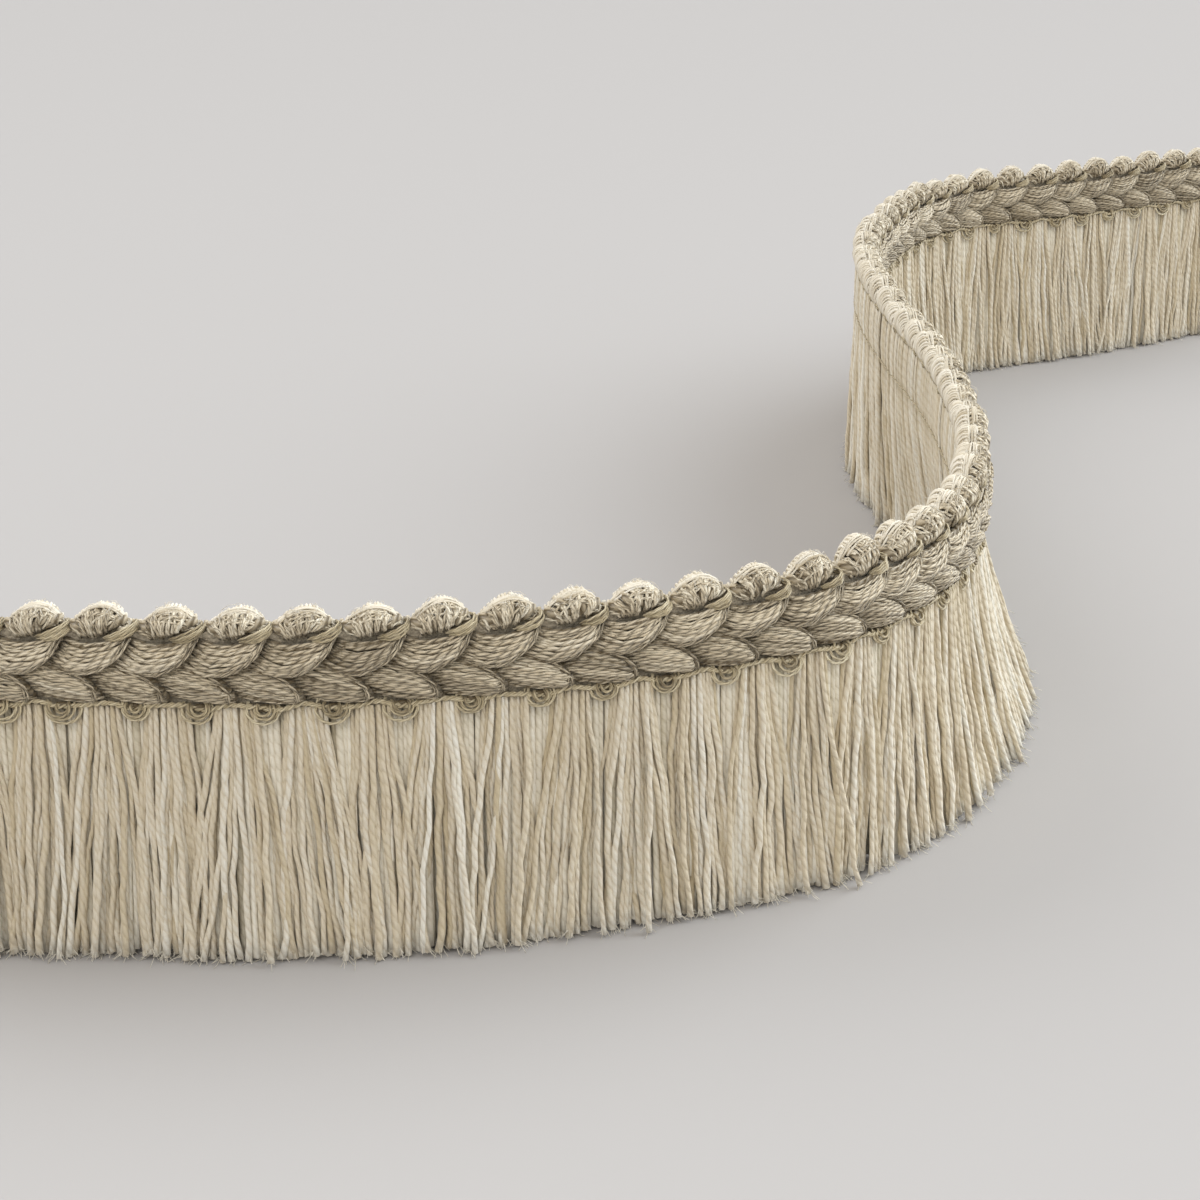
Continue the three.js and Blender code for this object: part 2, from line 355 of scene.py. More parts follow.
def makeThreads(name, paths, form, tone, material, radius=None):
    sides = form["sides"]
    count, rings = paths.shape[:2]
    radius = form["radius"] if radius is None else radius
    radius = np.broadcast_to(np.asarray(radius, dtype=float), (count, rings)) * mm
    forward = unit(np.gradient(paths, axis=1))
    toMiddle = paths[:, rings // 2] - paths[:, 0]
    toEnd = paths[:, -1] - paths[:, rings // 2]
    turn = np.cross(toMiddle, toEnd)
    firstLength = np.linalg.norm(toMiddle, axis=1)
    lastLength = np.linalg.norm(toEnd, axis=1)
    straight = np.linalg.norm(turn, axis=1) < threadForm["leastTurn"] * firstLength * lastLength
    turn[straight] = np.cross(toMiddle + toEnd, np.array(threadForm["straightSide"]))[straight]
    turn = unit(turn)[:, None, :]
    across = unit(turn - np.sum(turn * forward, axis=-1, keepdims=True) * forward)
    beside = np.cross(forward, across)
    angle = 2 * math.pi * np.arange(sides) / sides
    ringShape = across[:, :, None] * np.cos(angle)[:, None] + beside[:, :, None] * np.sin(angle)[:, None]
    points = paths[:, :, None] + radius[:, :, None, None] * ringShape

    start = np.arange(count)[:, None, None] * rings * sides + np.arange(rings - 1)[None, :, None] * sides
    here = np.arange(sides)
    following = (here + 1) % sides
    above = start + sides
    quads = np.stack([start + here, start + following, above + following, above + here], axis=-1)
    rootCaps = np.arange(count)[:, None] * rings * sides + here[::-1]
    endCaps = np.arange(count)[:, None] * rings * sides + (rings - 1) * sides + here
    mesh = bpy.data.meshes.new(name)
    faces = quads.reshape(-1, 4).tolist() + rootCaps.tolist() + endCaps.tolist()
    mesh.from_pydata(points.reshape(-1, 3).tolist(), [], faces)

    stepLength = np.linalg.norm(np.diff(paths, axis=1), axis=-1) / mm
    length = np.concatenate([np.zeros((count, 1)), np.cumsum(stepLength, axis=1)], axis=1)
    uv = np.zeros((count, rings - 1, sides, 4, 2))
    uv[..., 0] = (here[:, None] + np.array([0, 1, 1, 0])) / sides
    uv[..., 0:2, 1] = length[:, :-1, None, None]
    uv[..., 2:4, 1] = length[:, 1:, None, None]
    capUv = np.zeros((2 * count, sides, 2))
    capUv[..., 0] = here / sides
    capUv[count:, :, 1] = length[:, -1:]
    layer = mesh.uv_layers.new(name="threadUv")
    layer.data.foreach_set("uv", np.concatenate([uv.ravel(), capUv.ravel()]).astype(np.float32))
    toneAttribute = mesh.attributes.new(name="tone", type="FLOAT", domain="POINT")
    ringTone = np.asarray(tone, dtype=float).reshape(count, -1)[:, :, None]
    everyTone = np.broadcast_to(ringTone, (count, rings, sides))
    toneAttribute.data.foreach_set("value", everyTone.astype(np.float32).ravel())
    mesh.shade_smooth()
    mesh.materials.append(material)
    piece = bpy.data.objects.new(name, mesh)
    bpy.context.scene.collection.objects.link(piece)
    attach(piece, "root")
    return piece


# A thread's share of its curve at each ring, cut off square where it would pass an end of the trim. A thread
# with too little left is dropped.
endCut = {"samples": 41, "leastSamples": 8}


def cutAtEnds(alongAt, rings):
    fine = np.linspace(0, 1, endCut["samples"])
    along = alongAt(fine[None, :])
    inside = (along >= 0) & (along <= trimLength)
    keep = inside.sum(axis=1) >= endCut["leastSamples"]
    first = np.where(keep, fine[np.argmax(inside, axis=1)], 0)
    last = np.where(keep, fine[inside.shape[1] - 1 - np.argmax(inside[:, ::-1], axis=1)], 1)
    share = first[:, None] + (last - first)[:, None] * np.linspace(0, 1, rings)[None, :]
    return share, keep


def bezier(corners, share):
    rest = 1 - share
    weights = [rest**3, 3 * rest**2 * share, 3 * rest * share**2, share**3]
    return sum(weight * corners[:, k:k + 1] for k, weight in enumerate(weights))


# Plait: two rows of floss bundles. Corners are (pitches from the notch, height) of the curves that threads
# follow along the low edge, the middle and the high edge of one leaf, and round its rim. Tones go from 0,
# dark, to 1, light.
plait = {
    "threads": 12, "radius": 0.215, "rings": 8, "sides": 4,
    "rimThreads": 2, "rimRadius": 0.14, "rimStep": 0.035, "rimStepUp": 0.15,
    "rimSink": 0.1, "rimSinkStep": 0.06,
    # the core's dark tone is painted shade in the gaps between leaves
    "core": {"threads": 4, "radius": 0.5, "rings": 6, "sides": 5, "depth": 0.5, "tone": 0.1},
    "tuck": 0.6, "bulge": 1.85, "edge": 0.08, "crownRound": 0.7,
    "rootRise": 0.16, "riseShare": 0.45, "tipSink": 0.4, "sinkFrom": 0.88,
    "levelJitter": 0.016, "alongJitter": 0.022, "heightJitter": 0.09, "ruffle": 0.09,
    "rippleHeight": 0.05, "ripples": 3.2, "thinnest": 0.8, "thickest": 1.15, "tipThinning": 0.3,
    "tone": 0.5, "leafTones": 0.07, "threadTones": 0.11, "paintedRootShade": 0.34, "paintedTipShade": 0.2,
    "upper": {
        "rimLevel": 0.3, "rimTone": 0.46,
        "low": [(-0.36, 31.3), (-0.12, 30.05), (0.28, 29.65), (0.66, 31.35)],
        "mid": [(-0.16, 32.55), (0.02, 31.55), (0.48, 31.25), (0.84, 32.8)],
        "high": [(0.03, 33.6), (0.14, 33.05), (0.62, 33.35), (0.98, 34.3)],
        "rim": [(-0.28, 30.95), (0.15, 29.5), (0.74, 30.5), (0.98, 34.1)],
    },
    "lower": {
        # painted shade: the lower rim threads are darkened to stand for the shadow line at the leaf tips
        "rimLevel": 0.7, "rimTone": 0.28,
        "low": [(-0.46, 27.5), (-0.14, 27.45), (0.22, 26.95), (0.50, 27.4)],
        "mid": [(-0.74, 29.9), (-0.30, 30.0), (0.08, 29.2), (0.43, 28.3)],
        "high": [(-0.36, 31.1), (-0.10, 30.8), (0.14, 30.1), (0.30, 29.5)],
        "rim": [(-0.20, 30.95), (0.28, 30.3), (0.56, 28.5), (0.36, 27.3)],
    },
}


def leafCorners(shape, level):
    low, mid, high = (np.array(shape[edge]) for edge in ("low", "mid", "high"))
    w = level[:, None, None]
    return low * (2 * w - 1) * (w - 1) + mid * 4 * w * (1 - w) + high * w * (2 * w - 1)


def leafOut(level, share):
    inFromEdge = plait["edge"] + (1 - 2 * plait["edge"]) * level
    crown = np.sin(math.pi * inFromEdge)[:, None] ** plait["crownRound"]
    rise = plait["rootRise"] + (1 - plait["rootRise"]) * smoothStep(share / plait["riseShare"])
    rise = rise - plait["tipSink"] * smoothStep((share - plait["sinkFrom"]) / (1 - plait["sinkFrom"]))
    return plait["tuck"] + plait["bulge"] * crown * rise


def makeLeafRow(name, shape, seed):
    dice = np.random.default_rng(seed)
    leaves = np.arange(trim["pitches"] + 1)
    threads = plait["threads"]
    level = (np.arange(threads) + 0.5) / threads
    leaf = np.repeat(leaves, threads)
    level = np.clip(np.tile(level, len(leaves)) + dice.normal(0, plait["levelJitter"], len(leaf)), 0.02, 0.98)
    corners = leafCorners(shape, level)
    corners[:, :, 0] += dice.normal(0, plait["alongJitter"], (len(leaf), 4))
    corners[:, :, 1] += dice.normal(0, plait["heightJitter"], (len(leaf), 4))
    leafTone = dice.normal(plait["tone"], plait["leafTones"], len(leaves))
    tone = leafTone[leaf] + dice.normal(0, plait["threadTones"], len(leaf))
    lift = dice.normal(0, plait["ruffle"], len(leaf))
    radius = plait["radius"] * dice.uniform(plait["thinnest"], plait["thickest"], len(leaf))

    rims = np.tile(np.arange(plait["rimThreads"]), len(leaves))
    rimCorners = np.tile(np.array(shape["rim"]), (len(rims), 1, 1))
    rimCorners[:, :, 0] -= rims[:, None] * plait["rimStep"] + dice.normal(0, 0.015, (len(rims), 4))
    rimCorners[:, :, 1] += rims[:, None] * plait["rimStepUp"] + dice.normal(0, 0.06, (len(rims), 4))
    corners = np.concatenate([corners, rimCorners])
    level = np.concatenate([level, np.full(len(rims), shape["rimLevel"])])
    lift = np.concatenate([lift, -plait["rimSink"] - rims * plait["rimSinkStep"]])
    leaf = np.concatenate([leaf, np.repeat(leaves, plait["rimThreads"])])
    tone = np.concatenate([tone, dice.normal(shape["rimTone"], 0.1, len(rims))])
    rimRadius = plait["rimRadius"] * dice.uniform(plait["thinnest"], plait["thickest"], len(rims))
    radius = np.concatenate([radius, rimRadius])

    def alongAt(share):
        return (leaf[:, None] + bezier(corners[:, :, 0], share)) * trim["pitch"]

    share, keep = cutAtEnds(alongAt, plait["rings"])
    rippleTurn = share * plait["ripples"] + dice.uniform(0, 1, (len(leaf), 1))
    ripple = plait["rippleHeight"] * np.sin(2 * math.pi * rippleTurn)
    height = bezier(corners[:, :, 1], share) + ripple
    out = leafOut(level, share) + lift[:, None] * np.sin(math.pi * share) - ripple
    # painted shade: each leaf thread is darker where it starts and where it ends, in the tucks between leaves
    tone = tone[:, None] - plait["paintedRootShade"] * (1 - smoothStep(share / 0.2))
    tone = tone - plait["paintedTipShade"] * smoothStep((share - 0.9) / 0.1)
    paths = place(alongAt(share), out, height)[keep]
    radius = (radius[:, None] * (1 - plait["tipThinning"] * smoothStep((share - 0.85) / 0.15)))[keep]
    row = makeThreads(name, paths, plait, tone[keep], flossThread, radius)

    # painted shade: dark cores of floss under the leaves, so the gaps between them read dark
    core = plait["core"]
    coreLevel = np.tile((np.arange(core["threads"]) + 0.5) / core["threads"], len(leaves))
    coreLeaf = np.repeat(leaves, core["threads"])
    coreCorners = leafCorners(shape, coreLevel)

    def coreAlong(share):
        return (coreLeaf[:, None] + bezier(coreCorners[:, :, 0], share)) * trim["pitch"]

    share, keep = cutAtEnds(coreAlong, core["rings"])
    coreOut = leafOut(coreLevel, share) - core["depth"]
    paths = place(coreAlong(share), coreOut, bezier(coreCorners[:, :, 1], share))[keep]
    paintedShadeCoreTone = np.full(len(paths), core["tone"])
    return [row, makeThreads(name + "_core", paths, core, paintedShadeCoreTone, flossThread)]


headingPieces = makeLeafRow("plait_upper", plait["upper"], seed=11)
headingPieces += makeLeafRow("plait_lower", plait["lower"], seed=13)
print("plait made")


# Knobs: loops of floss that fan out from a tuck under each knob and go over the top edge. Paler cotton
# threads lie over them in arcs that follow the outline, and loops of the same cotton go down behind. Turns
# are in degrees round the knob, from level at the front.
knobs = {
    "left": 0.05, "right": 0.99, "notch": 34.55, "peakShift": 1.25, "roundness": 0.62,
    "footLeft": 33.75, "footRight": 34.75, "footTurn": 50, "leastDepth": 0.3,
    "fanMiddle": 0.5, "fanFront": 0.55, "fanBack": 0.35, "fanReach": 2.2,
    "riseAt": [11, 16, 40, 50], "rise": [2.25, 2.9, 2.9, 2.5],
    "loops": {"count": 18, "radius": 0.2, "rings": 8, "sides": 4, "from": -50, "to": 160,
              "depth": 1.85, "out": 0.2, "size": 1.0, "sink": 0.22, "crownSink": 0.2, "wobble": 0.016,
              "tone": 0.69, "paintedRootShade": 0.55, "paintedCrownLight": 0.3},
    "cores": {"count": 5, "radius": 0.5, "rings": 7, "sides": 5, "from": -50, "to": 232,
              "depth": 1.85, "out": 0.2, "size": 0.7, "proud": -0.1, "tone": 0.3},
    "backLoops": {"count": 17, "radius": 0.17, "rings": 8, "sides": 4, "from": 66, "to": 232,
                  "depth": 1.35, "out": -0.6, "size": 1.0, "crownSink": 0.45, "tone": 0.56},
    "bands": {"turns": [30, 42, 54, 64], "radius": 0.15, "sides": 4, "depth": 1.9, "out": 0.15, "size": 1.0,
              "proud": -0.12, "endSink": 0.25, "tone": 0.62},
    "arcs": {"count": 17, "radius": 0.125, "sides": 4, "from": 75, "to": 170, "depth": 1.95, "out": 0.05,
             "size": 1.0, "proud": -0.04, "tone": 0.5, "paintedBackLight": 0.28},
    "hairs": {"count": 36, "radius": 0.026, "sides": 3, "from": 40, "to": 170, "depth": 1.9, "out": 0.05,
              "size": 1.0, "tone": 0.8},
}
knobDice = np.random.default_rng(20)
knobs["swell"] = knobDice.normal(1.0, 0.09, trim["pitches"])
knobs["slip"] = knobDice.normal(0.0, 0.012, trim["pitches"])


# Points of a knob's surface for one kind of thread: number of the knob, pitches across it, turn round it, and
# how proud of the surface the thread lies
def knobPoint(kind, number, across, turn, proud, astray=0.0):
    span = knobs["right"] - knobs["left"]
    swing = np.clip((across - knobs["left"]) / span, 0.004, 0.996) ** knobs["peakShift"]
    profile = np.sin(math.pi * swing) ** knobs["roundness"]
    rise = np.interp(number, knobs["riseAt"], knobs["rise"]) * knobs["swell"][number]
    top = knobs["notch"] + rise * profile + proud
    foot = knobs["footLeft"] + (knobs["footRight"] - knobs["footLeft"]) * (across - 0.1) / 0.9
    centre = foot + 0.5 * (top - foot)
    sine = np.sin(turn)
    lower = (centre - foot) / math.sin(math.radians(knobs["footTurn"]))
    height = centre + np.where(sine > 0, (top - centre) * sine, lower * sine) * kind["size"]
    depth = kind["depth"] * (knobs["leastDepth"] + (1 - knobs["leastDepth"]) * profile)
    out = kind["out"] + depth * kind["size"] * np.cos(turn)
    fan = np.where(np.cos(turn) > 0, knobs["fanFront"], knobs["fanBack"])
    pull = fan * smoothStep(np.abs(turn - math.pi / 2) / knobs["fanReach"])
    slid = across + (knobs["fanMiddle"] + astray - across) * pull
    along = (number + knobs["slip"][number] + slid) * trim["pitch"]
    return place(np.clip(along, 0.02, trimLength - 0.02), out, height)


def makeKnobs():
    dice = np.random.default_rng(21)
    numbers = np.arange(trim["pitches"])[:, None]
    span = knobs["right"] - knobs["left"]

    def spread(count, jitter):
        even = knobs["left"] + span * (np.arange(count) + 0.5) / count
        across = np.tile(even, trim["pitches"]) + dice.normal(0, jitter, count * trim["pitches"])
        return np.repeat(numbers, count, axis=0), across[:, None]

    def vary(number, deviation, middle=0.0):
        return dice.normal(middle, deviation, (len(number), 1))

    def between(number, low, high):
        return dice.uniform(low, high, (len(number), 1))

    def evenTurns(kind):
        return np.radians(np.linspace(kind["from"], kind["to"], kind["rings"]))[None, :]

    loops = knobs["loops"]
    number, across = spread(loops["count"], 0.02)
    turn = evenTurns(loops) + vary(number, 0.05)
    proud = vary(number, 0.08) - loops["sink"]
    proud = proud - loops["crownSink"] * smoothStep((turn - 1.4) / 0.6)
    astray = vary(number, 0.09)
    wobble = loops["wobble"] * np.sin(4 * turn + between(number, 0, 2 * math.pi))
    paths = knobPoint(loops, number, across + wobble, turn, proud, astray)
    tone = dice.normal(loops["tone"], 0.06, trim["pitches"])[number] + vary(number, 0.2)
    # painted shade at the foot of each loop, under the knob, and painted light over its crown
    paintedRootShade = loops["paintedRootShade"] * (1 - smoothStep((turn + 0.87) / 0.7))
    tone = tone - paintedRootShade * between(number, 0.3, 1.2)
    tone = tone + loops["paintedCrownLight"] * smoothStep((turn - 1.3) / 0.6)
    radius = loops["radius"] * between(number, 0.8, 1.15)
    pieces = [makeThreads("knobs", paths, loops, tone, knobFloss, radius)]

    cores = knobs["cores"]
    number, across = spread(cores["count"], 0)
    paths = knobPoint(cores, number, across, evenTurns(cores), cores["proud"])
    tone = np.full(len(number), cores["tone"])
    pieces.append(makeThreads("knobs_core", paths, cores, tone, flossThread))

    backLoops = knobs["backLoops"]
    number, across = spread(backLoops["count"], 0.012)
    turn = evenTurns(backLoops) + vary(number, 0.05)
    proud = vary(number, 0.05)
    proud = proud - backLoops["crownSink"] * (1 - smoothStep((turn - 1.15) / 0.55))
    paths = knobPoint(backLoops, number, across, turn, proud)
    tone = dice.normal(backLoops["tone"], 0.14, len(number))
    pieces.append(makeThreads("knob_loops", paths, backLoops, tone, haloYarn))

    # A few bands of floss over the front, under the paler arcs
    crossing = np.linspace(0, 1, 9)[None, :]
    tilt = np.linspace(-1, 1, 9)[None, :]
    bands = knobs["bands"]
    number = np.repeat(numbers, len(bands["turns"]), axis=0)
    turn = np.radians(np.tile(bands["turns"], trim["pitches"]))[:, None]
    turn = turn + vary(number, 0.1)
    first = between(number, 0.0, 0.45)
    last = between(number, 0.75, 1.0)
    across = knobs["left"] + span * (first + (last - first) * crossing)
    turn = turn + vary(number, 0.25, 0.1) * tilt
    proud = vary(number, 0.05, bands["proud"]) - bands["endSink"] * np.abs(tilt) ** 4
    paths = knobPoint(bands, number, across, turn, proud)
    tone = dice.normal(bands["tone"], 0.15, len(number))
    pieces.append(makeThreads("knob_bands", paths, bands, tone, knobFloss))

    arcs = knobs["arcs"]
    number = np.repeat(numbers, arcs["count"], axis=0)
    even = np.radians(np.linspace(arcs["from"], arcs["to"], arcs["count"]))
    turn = np.tile(even, trim["pitches"])[:, None] + vary(number, 0.05)
    first = between(number, 0.02, 0.4) * (1 - smoothStep((turn - 1.5) / 0.7))
    last = between(number, 0.9, 1.0)
    across = knobs["left"] + span * (first + (last - first) * crossing)
    turn = turn + vary(number, 0.12) * tilt
    proud = vary(number, 0.06, arcs["proud"])
    paths = knobPoint(arcs, number, across, turn, proud)
    middleTurn = turn[:, turn.shape[1] // 2]
    # painted light: arcs over the top and back of the knob are lighter than those on the front
    tone = arcs["tone"] + arcs["paintedBackLight"] * smoothStep((middleTurn - 1.5) / 0.5)
    tone = np.clip(tone + dice.normal(0, 0.14, len(number)), 0, 1)
    pieces.append(makeThreads("knob_arcs", paths, arcs, tone, haloYarn))

    hairs = knobs["hairs"]
    growth = np.linspace(0, 1, 4)[None, :]
    number = np.repeat(numbers, hairs["count"], axis=0)
    across = knobs["left"] + span * between(number, 0.05, 0.98) ** 0.75
    reach = vary(number, 0.12) * growth
    turn = np.radians(between(number, hairs["from"], hairs["to"]))
    turn = turn + vary(number, 0.5) * growth
    proud = 0.05 + between(number, 0.05, 0.5) * np.array([[0.0, 0.7, 1.0, 0.8]])
    fluff = dict(hairs, depth=hairs["depth"] + proud)
    paths = knobPoint(fluff, number, across + reach, turn, proud)
    tone = np.full(len(number), hairs["tone"])
    pieces.append(makeThreads("knob_hairs", paths, hairs, tone, haloYarn))
    return pieces


headingPieces += makeKnobs()
print("knobs made")


# Ties: gold threads that bind each notch, fanned on the front and taken over to the back
ties = {"threads": 7, "radius": 0.13, "sides": 4, "tone": 0.55}


def makeTies():
    dice = np.random.default_rng(31)
    numbers = np.arange(trim["pitches"])
    count = ties["threads"]
    number = np.repeat(numbers, count).astype(float)
    fan = np.tile(np.linspace(0, 1, count), len(numbers)) + dice.normal(0, 0.06, len(number))
    # Pitches from the notch before, low and high in the fan, heights low and high, and distance out
    rows = np.array([
        [0.64, 0.58, 33.75, 34.0, 1.4],
        [0.78, 0.72, 33.85, 34.45, 1.95],
        [0.90, 0.85, 34.05, 34.85, 2.0],
        [0.99, 0.96, 34.3, 35.1, 1.6],
        [1.05, 1.02, 34.5, 35.15, 0.7],
        [1.07, 1.03, 34.5, 35.1, -0.3],
        [1.02, 1.0, 34.3, 34.9, -1.2],
        [0.92, 0.9, 34.1, 34.5, -1.55],
        [0.78, 0.76, 33.8, 34.1, -1.5],
    ])
    slid = rows[:, 0] + (rows[:, 1] - rows[:, 0]) * fan[:, None] + dice.normal(0, 0.012, (len(number), 1))
    along = np.minimum((number[:, None] + slid) * trim["pitch"], trimLength - 0.02)
    height = rows[:, 2] + (rows[:, 3] - rows[:, 2]) * fan[:, None] + dice.normal(0, 0.05, (len(number), 1))
    out = rows[:, 4] + dice.normal(0, 0.06, (len(number), 1))
    tone = dice.normal(ties["tone"], 0.16, len(number))
    return [makeThreads("notch_ties", place(along, out, height), ties, tone, goldCord)]


headingPieces += makeTies()
print("ties made")


# Edge cord: two plies laid round each other along the lower edge of the plait
edgeCord = {"plies": 2, "radius": 0.18, "sides": 4, "twistRadius": 0.13, "turnLength": 1.5,
            "pointsPerPitch": 28, "height": 26.98, "swing": 0.25, "wander": 0.08, "out": 1.5,
            "piecePitches": 5, "tone": 0.62, "plyTone": 0.14}


def makeEdgeCord():
    perPiece = edgeCord["piecePitches"] * edgeCord["pointsPerPitch"] + 1
    pieceCount = trim["pitches"] // edgeCord["piecePitches"]
    start = np.repeat(np.arange(pieceCount), edgeCord["plies"])[:, None] * edgeCord["piecePitches"]
    share = start + np.linspace(0, edgeCord["piecePitches"], perPiece)[None, :]
    along = np.clip(share * trim["pitch"], 0.05, trimLength - 0.05)
    ply = np.tile(np.arange(edgeCord["plies"]), pieceCount)[:, None]
    turn = 2 * math.pi * (along / edgeCord["turnLength"] + ply / edgeCord["plies"])
    height = edgeCord["height"] + edgeCord["swing"] * np.cos(2 * math.pi * (share - 0.5))
    height = height + edgeCord["wander"] * np.sin(along * 1.7) + edgeCord["twistRadius"] * np.sin(turn)
    out = edgeCord["out"] + edgeCord["wander"] * np.sin(along * 1.1) + edgeCord["twistRadius"] * np.cos(turn)
    tone = edgeCord["tone"] + edgeCord["plyTone"] * ply[:, 0]
    return makeThreads("edge_cord", place(along, out, height), edgeCord, tone, goldCord)


# Picots: nested loops of thread that hang under the plait, one group for each pitch, over a dark tuck
picots = {
    "phase": -0.05, "height": 27.0, "hang": 0.2, "rings": 11, "sides": 5, "radius": 0.155,
    "from": 150, "to": 392, "halfWidth": 1.22, "halfDepth": 1.08, "tone": 0.06, "outerPaintedLight": 0.55,
    "loops": [{"size": 0.5, "out": 1.85}, {"size": 0.76, "out": 1.85}, {"size": 1.0, "out": 1.7},
              {"size": 1.22, "out": 1.5}],
    "tuck": {"radius": 0.45, "sides": 6, "reach": 0.7, "out": 1.15, "height": 26.75},
}


def makePicots():
    dice = np.random.default_rng(41)
    pitchCount = trim["pitches"] + 1
    loopCount = len(picots["loops"])
    number = np.repeat(np.arange(pitchCount), loopCount)
    drift = dice.normal(0, 0.03, pitchCount)
    swell = 1 + dice.normal(0, 0.07, pitchCount)
    size = np.tile([loop["size"] for loop in picots["loops"]], pitchCount)
    size = size * (1 + dice.normal(0, 0.12, len(size))) * swell[number]
    outMiddle = np.tile([loop["out"] for loop in picots["loops"]], pitchCount)
    outMiddle = outMiddle + dice.normal(0, 0.05, len(size))
    turn = np.radians(np.linspace(picots["from"], picots["to"], picots["rings"]))[None, :]
    turn = turn + dice.normal(0, 0.12, (len(size), 1))
    centre = (number + picots["phase"] + drift[number])[:, None] * trim["pitch"]
    centre = centre + dice.normal(0, 0.13, (len(size), 1))
    along = centre + size[:, None] * picots["halfWidth"] * np.cos(turn)
    along = np.clip(along, 0.1, trimLength - 0.1)
    height = picots["height"] + size[:, None] * (picots["halfDepth"] * np.sin(turn) - picots["hang"])
    height = height + dice.normal(0, 0.07, (len(size), 1))
    out = outMiddle[:, None] + 0.25 * smoothStep(-np.sin(turn)) - 0.5 * smoothStep(np.sin(turn) * 3)
    inside = (centre[:, 0] > 0) & (centre[:, 0] < trimLength)
    # painted light and shade: the outer loops of each picot are lighter and the inner ones, round the hole,
    # darker
    tone = dice.normal(picots["tone"], 0.12, len(number)) + picots["outerPaintedLight"] * size
    paths = place(along, out, height)[inside]
    loops = makeThreads("picots", paths, picots, tone[inside], goldCord)
    middle = (np.arange(pitchCount) + picots["phase"] + drift)[:, None] * trim["pitch"]
    middle = middle[(middle[:, 0] > 0.5) & (middle[:, 0] < trimLength - 0.5)]
    # painted shade: a dark stub of floss behind each picot fills its hole
    tuck = picots["tuck"]
    paths = place(middle + tuck["reach"] * np.linspace(-1, 1, 4)[None, :], tuck["out"], tuck["height"])
    return [loops, makeThreads("picot_shade_tucks", paths, tuck, np.zeros(len(paths)), flossThread)]


edgePieces = [makeEdgeCord()] + makePicots()
for piece in edgePieces:
    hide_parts("picot_edging")
print("edge cord and picots made")


# Skirt: yarns in layers. The backmost layer climbs the reverse of the heading, under two lines of stitches.
# In each layer, out and footOut are distances to the front at the top and at the foot, gather draws the yarns
# together between the picots, follow is their share of the common lean, lean and depth are each yarn's own,
# wave is the size of its sway, and the root tone is painted shade that darkens the roots under the picots.
# painted light: the inner layers have a high tone as well
innerLayer = {"perPitch": 11, "top": 26.6, "tone": 0.75, "depth": 0.08, "gather": 0.0, "lean": 0.25,
              "follow": 0.3, "wave": 0.08, "jitter": 0.08, "thick": 1.38}
skirt = {
    "radius": 0.3, "toneSpread": 0.19, "gatherPhase": 0.45, "gatherDepth": 8.0,
    "footLow": 0.18, "footHigh": 0.75, "leanCurve": 1.3, "flareCurve": 1.35, "commonLeanFade": 12,
    "commonLean": [{"size": 1.5, "length": 43, "phase": 0.5}, {"size": 1.0, "length": 17, "phase": 1.9}],
    "outer": {"sides": 6, "rings": 13, "layers": [
        {"perPitch": 7, "out": 1.25, "footOut": 1.9, "top": 26.9, "tone": 0.62, "depth": 0.18,
         "gather": 0.45, "lean": 0.85, "follow": 1.0, "wave": 0.3, "rootPaintedShade": -0.12, "jitter": 0.17,
         "thick": 1.0, "frays": 7},
        {"perPitch": 11, "out": 0.92, "footOut": 1.4, "top": 26.8, "tone": 0.45, "depth": 0.13,
         "gather": 0.34, "lean": 0.6, "follow": 1.0, "wave": 0.3, "rootPaintedShade": -0.2, "jitter": 0.15,
         "thick": 1.0, "frays": 2},
        {"perPitch": 9, "out": -1.05, "footOut": -1.5, "top": 35.0, "tone": 0.62, "depth": 0.12,
         "gather": 0.0, "lean": 0.7, "follow": 1.0, "wave": 0.3, "rootPaintedShade": 0.0, "jitter": 0.1,
         "thick": 1.12, "frays": 4},
        {"perPitch": 1.2, "out": 1.35, "footOut": 2.5, "top": 26.9, "tone": 0.7, "depth": 0.2,
         "gather": 0.3, "lean": 2.0, "follow": 1.0, "wave": 0.3, "rootPaintedShade": 0.0, "jitter": 1.0,
         "thick": 0.95, "frays": 6},
    ]},
    "inner": {"sides": 5, "rings": 9, "layers": [
        dict(innerLayer, out=0.55, footOut=0.9, rootPaintedShade=-0.3),
        dict(innerLayer, out=-0.4, footOut=-0.6, rootPaintedShade=-0.1),
    ]},
}
stitchLines = {
    "heights": [33.9, 26.9], "radius": 0.14, "sides": 4, "out": -1.38, "stitchesPerPitch": 4,
    "pointsPerStitch": 4, "from": 0.02, "to": 0.98, "dipIn": 0.12, "dipUp": 0.1, "wander": 0.05, "tone": 0.5,
}


def commonLean(along):
    inward = smoothStep(np.minimum(along, trimLength - along) / skirt["commonLeanFade"])
    waves = [wave["size"] * np.sin(along * 2 * math.pi / wave["length"] + wave["phase"])
             for wave in skirt["commonLean"]]
    return inward * sum(waves)


